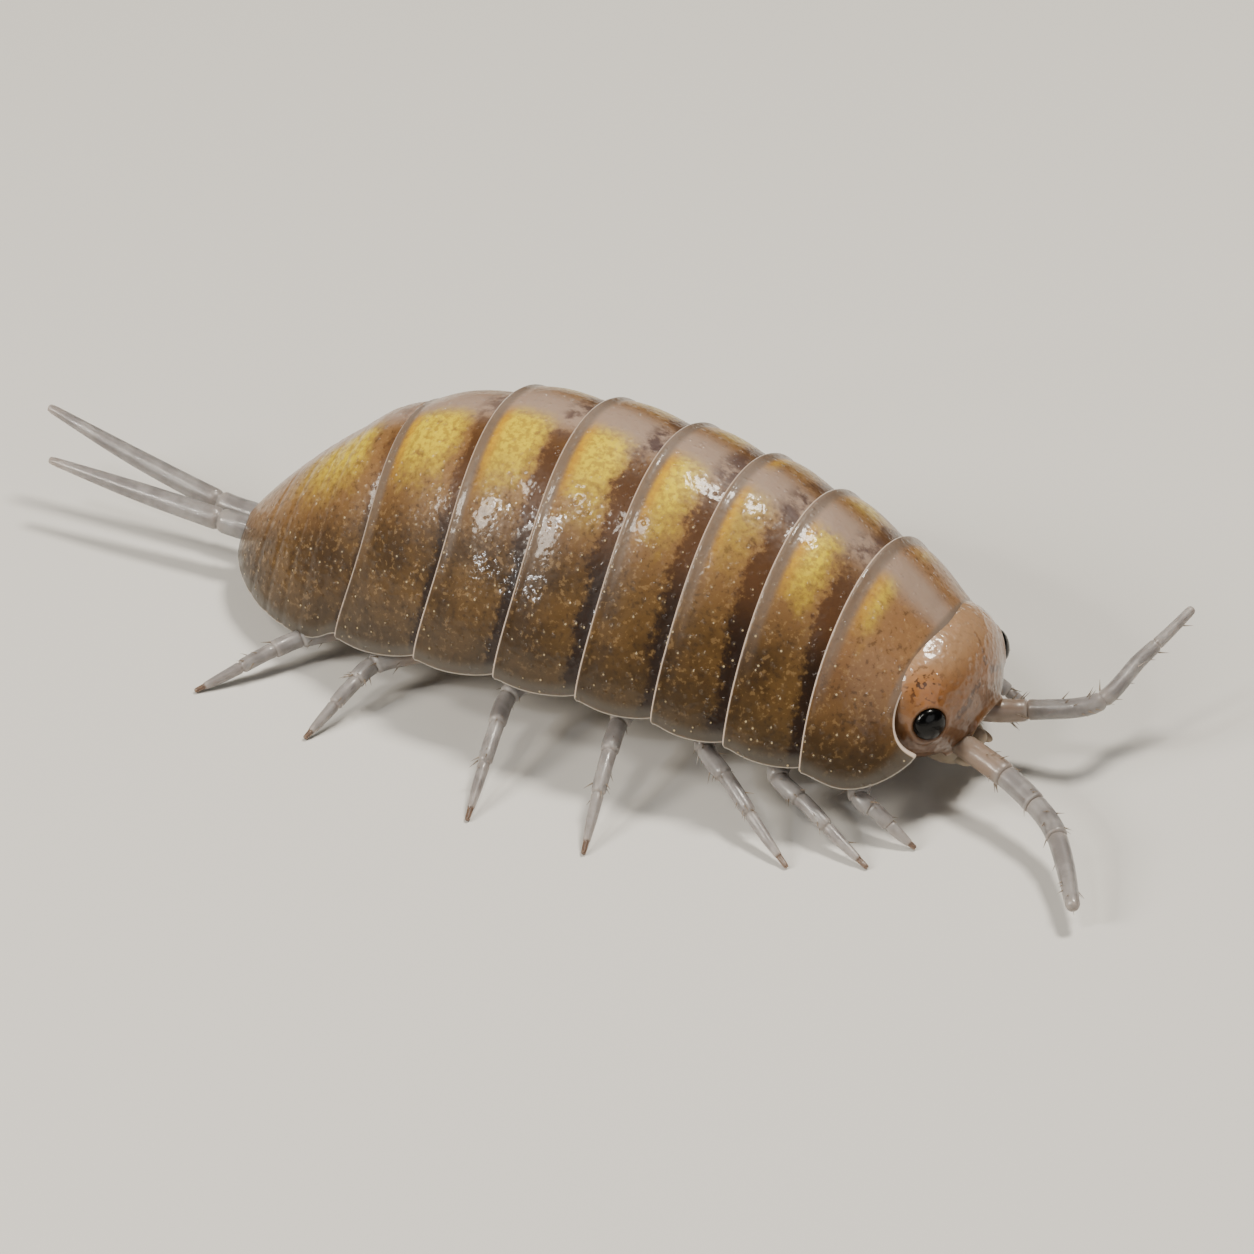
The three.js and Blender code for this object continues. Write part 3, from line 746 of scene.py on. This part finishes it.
# Bristles: stiff hairs of clear chitin that grow out of the limbs' skin, thickest round the joints and
# leaning to the limb's tip. They look like thin brownish glass, 0.1 to 0.26 mm long and, so that they
# show, somewhat thicker than the real ones.
bristle_chitin, tree = new_material("clear_bristle_chitin")
skin = add_node(tree, "ShaderNodeBsdfPrincipled", {"Base Color": "#7D6F5F", "Roughness": 0.35, "IOR": 1.54})
add_node(tree, "ShaderNodeOutputMaterial", {"Surface": skin.outputs[0]})

growth = bpy.data.node_groups.new("bristle_growth", "GeometryNodeTree")
growth.interface.new_socket("Limbs", in_out="INPUT", socket_type="NodeSocketGeometry")
bristle_sizes = {}
for label, kind, value in (
        ("Hairs per square metre", "NodeSocketFloat", 9.0e6), ("Hair length", "NodeSocketFloat", 0.00023),
        ("Hair radius", "NodeSocketFloat", 0.000018), ("Seed", "NodeSocketInt", 7)):
    socket = growth.interface.new_socket(label, in_out="INPUT", socket_type=kind)
    bristle_sizes[socket.identifier] = value
growth.interface.new_socket("Bristles", in_out="OUTPUT", socket_type="NodeSocketGeometry")
given = add_node(growth, "NodeGroupInput").outputs
density = add_node(growth, "GeometryNodeInputNamedAttribute", {"Name": "bristle"}, data_type="FLOAT")
per_area = share_of(growth, (density.outputs["Attribute"], given["Hairs per square metre"]))
scatter = add_node(growth, "GeometryNodeDistributePointsOnFaces", {
    "Mesh": given["Limbs"], "Density": per_area, "Seed": given["Seed"]})
toward = add_node(growth, "ShaderNodeCombineXYZ")
for k, axis in enumerate("xyz"):
    part = add_node(growth, "GeometryNodeInputNamedAttribute", {"Name": f"toward_{axis}"},
                    data_type="FLOAT")
    growth.links.new(part.outputs["Attribute"], toward.inputs[k])
lean = add_node(growth, "ShaderNodeVectorMath", {0: scatter.outputs["Normal"], 1: toward.outputs[0]},
                operation="ADD")
turned = add_node(growth, "FunctionNodeAlignRotationToVector", {"Vector": lean.outputs[0]}, axis="Z")
hair = add_node(growth, "GeometryNodeMeshCone", {
    "Vertices": 5, "Radius Top": 0.000002, "Radius Bottom": given["Hair radius"],
    "Depth": given["Hair length"]})
sizes = add_node(growth, "FunctionNodeRandomValue", {2: 0.5, 3: 1.15, "Seed": given["Seed"]},
                 data_type="FLOAT")
grown = add_node(growth, "GeometryNodeInstanceOnPoints", {
    "Points": scatter.outputs["Points"], "Instance": hair.outputs["Mesh"], "Rotation": turned.outputs[0],
    "Scale": sizes.outputs[1]})
real = add_node(growth, "GeometryNodeRealizeInstances", {"Geometry": grown.outputs[0]})
coated = add_node(growth, "GeometryNodeSetMaterial", {"Geometry": real.outputs[0],
                                                      "Material": bristle_chitin})
add_node(growth, "NodeGroupOutput", {0: coated.outputs[0]})

work = bmesh.new()
for piece in limb_pieces:
    if not piece.name.startswith("tail_rod"):
        work.from_mesh(piece.data)
bed_mesh = bpy.data.meshes.new("bristle_bed")
work.to_mesh(bed_mesh)
work.free()
bed = bpy.data.objects.new("bristle_bed", bed_mesh)
bpy.context.collection.objects.link(bed)
modifier = bed.modifiers.new("bristles", "NODES")
modifier.node_group = growth
for identifier, value in bristle_sizes.items():
    modifier[identifier] = value
ready = bed.evaluated_get(bpy.context.evaluated_depsgraph_get())
hairs = bpy.data.objects.new("limb_bristles", bpy.data.meshes.new_from_object(ready))
bpy.data.objects.remove(bed)
bpy.context.collection.objects.link(hairs)
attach(hairs, "root")


# Belly: the soft underside between the legs, a membrane of thin chitin stretched between the plates'
# edges, with one low fold to each plate. It is pale and clouded, with a satin gloss.
membrane, tree = new_material("pale_belly_membrane")
where = add_node(tree, "ShaderNodeTexCoord").outputs["Object"]
cloud = add_node(tree, "ShaderNodeTexNoise", {"Vector": where, "Scale": 1500.0, "Detail": 5.0}).outputs[0]
colour = painted(tree, "#A99A86", (("#8B7B69", (cloud, 0.35, 0.65)),))
bump = add_node(tree, "ShaderNodeBump", {"Strength": 0.4, "Distance": 0.0001, "Height": cloud})
skin = add_node(tree, "ShaderNodeBsdfPrincipled", {
    "Base Color": colour, "Roughness": 0.45, "IOR": 1.45, "Subsurface Weight": 0.3,
    "Subsurface Radius": (1.0, 0.7, 0.5), "Subsurface Scale": 0.0003, "Normal": bump.outputs[0]})
add_node(tree, "ShaderNodeOutputMaterial", {"Surface": skin.outputs[0]})

BELLY_SPOKES = 97
BELLY_INSET = 0.42
FOLD_DEPTH = 0.1
stations = np.concatenate([np.linspace(5.6, -6.4, 90), np.linspace(-6.5, -10.2, 30)])
angle = np.linspace(0, 2 * math.pi, BELLY_SPOKES)
sine, cosine = np.sin(angle), np.cos(angle)
rings = []
for x in stations:
    if x < RIM_STATIONS[-1]:
        section = tail_section
    else:
        section = collar_section if x > RIM_STATIONS[0] else body_section
    width, dome, edge = (float(v) for v in section(np.array(x)))
    fold = FOLD_DEPTH * sum(math.exp(-((x - rim + 0.1) / 0.12) ** 2) for rim in RIM_STATIONS)
    inset = max(width - BELLY_INSET, 0.3 * width)
    upper = 0.72 * dome * np.abs(cosine) ** 1.2
    lower = min(0.78, 0.4 * dome) * (1 - np.abs(sine) ** 4) + fold * (1 - np.abs(sine) ** 2)
    height = edge + 0.12 + np.where(cosine > 0, upper, lower)
    rings.append(np.stack([np.full(BELLY_SPOKES, x), inset * sine, height], -1))
# each end closes in a flat disc
ends = [ring * (1, 0, 0) + ring.mean(0) * (0, 1, 1) for ring in (rings[0], rings[-1])]
rings = ends[:1] + rings + ends[1:]
faces = grid_faces(len(rings), BELLY_SPOKES)
belly = mesh_piece("belly_membrane", np.array(rings).reshape(-1, 3), faces, membrane)
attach(belly, "root")


# Gills and mouthparts: five pairs of leaf-like flaps of membrane under the tail, and the small bundle of
# jaws and feeding palps under the front of the head. Both grow out of the belly.
def blob(centre, radii, tilt=0.0, rows=17, columns=33):
    turn, round_angle = np.meshgrid(np.linspace(0, math.pi, rows), np.linspace(0, 2 * math.pi, columns),
                                    indexing="ij")
    sine = np.sin(turn)
    p = np.stack([sine * np.cos(round_angle), sine * np.sin(round_angle), np.cos(turn)], -1) * radii
    p[..., 2] = p[..., 2] + tilt * p[..., 0]
    return (p + centre).reshape(-1, 3), grid_faces(rows, columns)


def bundle(name, blobs, replaced):
    spots, faces, start = [], [], 0
    for points, quads in blobs:
        spots.append(points)
        faces.append(quads + start)
        start += len(points)
    piece = mesh_piece(name, np.concatenate(spots), np.concatenate(faces), membrane)
    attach(piece, "root")
    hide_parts(replaced)


flaps = [blob((-7.25 - 0.46 * row, side * (0.62 - 0.05 * row), 1.16 - 0.02 * row),
              (0.5, 0.78 - 0.08 * row, 0.16), 0.3) for row in range(5) for side in (-1, 1)]
bundle("gill_flaps", flaps, "pleopods")
jaws = []
for side in (-1, 1):
    jaws.append(blob((6.4, side * 0.4, 1.0), (0.6, 0.34, 0.34), -0.1))
    jaws.append(blob((6.85, side * 0.5, 0.9), (0.32, 0.13, 0.13), -0.2))
    jaws.append(blob((6.95, side * 0.2, 1.05), (0.22, 0.16, 0.2)))
bundle("jaws_and_palps", jaws, "mouthparts")


# Floor and light: plain pale paper in a pale room, under soft boxes above, near and at the side and a
# weak fill in front, with two small lamps at the right rear whose glints show how wet the shell is.
work = bmesh.new()
bmesh.ops.create_grid(work, x_segments=1, y_segments=1, size=0.6)
floor_mesh = bpy.data.meshes.new("floor")
work.to_mesh(floor_mesh)
work.free()
floor = bpy.data.objects.new("floor", floor_mesh)
bpy.context.collection.objects.link(floor)
floor.location = (0, 0, float(placed((0, 0, 0))[2]) - 0.00001)
paper, tree = new_material("pale_paper_floor")
surface = add_node(tree, "ShaderNodeBsdfPrincipled", {"Base Color": "#D9D7D2", "Roughness": 0.8})
add_node(tree, "ShaderNodeOutputMaterial", {"Surface": surface.outputs[0]})
floor_mesh.materials.append(paper)


def soft_box(name, spot_mm, size_m, watts, code):
    # a round area light at a place in millimetres, aimed at the middle of the animal
    light = bpy.data.lights.new(name, "AREA")
    light.shape = "DISK"
    light.size = size_m
    light.energy = watts
    light.color = hex_colour(code)[:3]
    lamp = bpy.data.objects.new(name, light)
    bpy.context.collection.objects.link(lamp)
    lamp.location = placed(spot_mm)
    lamp.rotation_euler = (Vector(placed((0, 0, 3))) - lamp.location).to_track_quat("-Z", "Y").to_euler()


soft_box("key_box", (30, 40, 150), 0.035, 0.26, "#FFF8EC")
soft_box("near_box", (-30, -85, 135), 0.03, 0.08, "#FFF8EC")
soft_box("side_box", (-90, -120, 95), 0.05, 0.20, "#FFF6E8")
soft_box("spark_lamp", (-60, -105, 100), 0.008, 0.035, "#FFFFFF")
soft_box("low_spark_lamp", (-70, -150, 52), 0.006, 0.02, "#FFFFFF")
soft_box("fill_box", (120, -60, 60), 0.10, 0.03, "#FFFFFF")
room = bpy.data.worlds.new("pale_room")
bpy.context.scene.world = room
room.use_nodes = True
room.node_tree.nodes["Background"].inputs[0].default_value = hex_colour("#E6E2DC")
room.node_tree.nodes["Background"].inputs[1].default_value = 0.1
